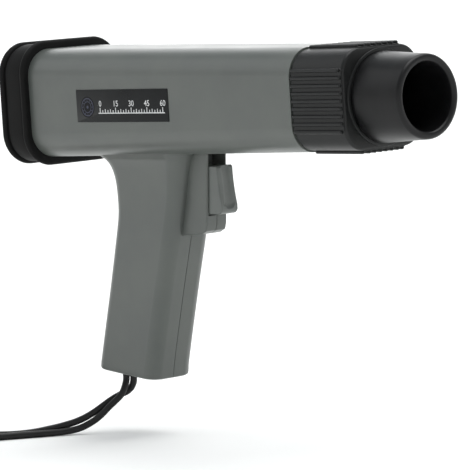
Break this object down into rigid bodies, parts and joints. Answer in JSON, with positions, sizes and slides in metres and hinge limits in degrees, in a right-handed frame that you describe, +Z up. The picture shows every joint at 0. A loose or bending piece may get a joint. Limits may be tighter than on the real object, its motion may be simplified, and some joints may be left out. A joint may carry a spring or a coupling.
{
  "type": "timing light",
  "caption": "Pistol-grip timing light: square barrel, rubber-booted display and keys at the rear, ribbed collar, round nozzle, sprung trigger, pickup and battery leads.",
  "frame": {"origin": "middle of the gripping hand, on the mid plane inside the grip, 100 mm below the barrel axis", "axes": "+X along the barrel to the muzzle, +Y to the side with the screws, +Z up"},
  "size_m": [0.4469, 0.1266, 0.2149],
  "materials": {
    "casing_grey": "satin moulded ABS",
    "trigger_grey": "satin moulded ABS",
    "boot_rubber": "matte rubber",
    "black_moulding": "fine matte",
    "panel_black": "satin film",
    "display_red": "dark red filter",
    "led_red": "lit red",
    "circuit_board": "solder mask",
    "bright_steel": "zinc plated",
    "capacitor_sleeve": "heat-shrunk sleeve",
    "transformer_tape": "tape",
    "mirror_chrome": "vacuum metallised",
    "lens_glass": "clear",
    "socket_ceramic": "unglazed",
    "lead_black": "satin PVC",
    "tie_black": "nylon",
    "red_plastic": "soft PVC",
    "black_grip_plastic": "soft PVC",
    "plated_steel": "nickel plated",
    "ferrite": "sintered"
  },
  "bodies": {
    "gun": {"left_shell": "casing_grey", "right_shell": "casing_grey", "shell_screws": "bright_steel", "rear_boot": "boot_rubber", "keypad_panel": "panel_black", "display_window": "display_red", "led_display": "led_red", "indicator_leds": "led_red", "display_board": "circuit_board", "tact_switches": "bright_steel", "main_board": "circuit_board", "storage_capacitor": "capacitor_sleeve", "pulse_transformer": "transformer_tape", "reflector": "mirror_chrome", "xenon_tube": "lens_glass", "lamp_socket": "socket_ceramic", "focus_lens": "lens_glass", "front_collar": "black_moulding", "nozzle": "black_moulding", "name_label": "panel_black", "trigger_spring": "bright_steel", "trigger_switch": "black_moulding", "cable_grommet": "lead_black", "pickup_lead": "lead_black", "pickup_coil": "lead_black", "pickup_tail": "lead_black", "pickup_tie": "tie_black", "battery_lead": "lead_black", "battery_coil": "lead_black", "battery_tail": "lead_black", "battery_tie": "tie_black", "lead_splitter": "lead_black", "red_leg": "red_plastic", "black_leg": "lead_black", "red_clip_base": "plated_steel", "red_base_grip": "red_plastic", "red_clip_pin": "bright_steel", "red_clip_spring": "bright_steel", "black_clip_base": "plated_steel", "black_base_grip": "black_grip_plastic", "black_clip_pin": "bright_steel", "black_clip_spring": "bright_steel", "pickup_base": "black_moulding", "pickup_pin": "bright_steel", "pickup_spring": "bright_steel", "base_ferrite": "ferrite"},
    "trigger": {"trigger": "trigger_grey"},
    "mode_key": {"mode_key": "panel_black"},
    "plus_key": {"plus_key": "panel_black"},
    "minus_key": {"minus_key": "panel_black"},
    "stroke_key": {"stroke_key": "panel_black"},
    "red_jaw": {"red_clip_jaw": "plated_steel", "red_jaw_grip": "red_plastic"},
    "black_jaw": {"black_clip_jaw": "plated_steel", "black_jaw_grip": "black_grip_plastic"},
    "clamp_jaw": {"pickup_jaw": "black_moulding", "jaw_ferrite": "ferrite"}
  },
  "joints": [
    {"name": "trigger_pull", "type": "slide", "parent": "gun", "child": "trigger", "axis": [-1, 0, 0], "range_m": [0, 0.0045], "stiffness_N_per_m": 700, "deforming": ["trigger_spring"]},
    {"name": "mode_key_press", "type": "slide", "parent": "gun", "child": "mode_key", "axis": [1, 0, 0], "range_m": [0, 0.0005], "stiffness_N_per_m": 2500},
    {"name": "plus_key_press", "type": "slide", "parent": "gun", "child": "plus_key", "axis": [1, 0, 0], "range_m": [0, 0.0005], "stiffness_N_per_m": 2500},
    {"name": "minus_key_press", "type": "slide", "parent": "gun", "child": "minus_key", "axis": [1, 0, 0], "range_m": [0, 0.0005], "stiffness_N_per_m": 2500},
    {"name": "stroke_key_press", "type": "slide", "parent": "gun", "child": "stroke_key", "axis": [1, 0, 0], "range_m": [0, 0.0005], "stiffness_N_per_m": 2500},
    {"name": "red_clip_squeeze", "type": "hinge", "parent": "gun", "child": "red_jaw", "pos_m": [-0.204, -0.05, -0.0654], "axis": [0, 0, 1], "range_deg": [0, 20], "stiffness_Nm_per_rad": 0.6, "deforming": ["red_clip_spring"]},
    {"name": "black_clip_squeeze", "type": "hinge", "parent": "gun", "child": "black_jaw", "pos_m": [-0.204, -0.008, -0.0738], "axis": [0, 0, -1], "range_deg": [0, 20], "stiffness_Nm_per_rad": 0.6, "deforming": ["black_clip_spring"]},
    {"name": "pickup_clamp_squeeze", "type": "hinge", "parent": "gun", "child": "clamp_jaw", "pos_m": [-0.14, -0.0655, -0.0654], "axis": [0, 0, -1], "range_deg": [0, 25], "stiffness_Nm_per_rad": 0.4, "deforming": ["pickup_spring"]}
  ]
}
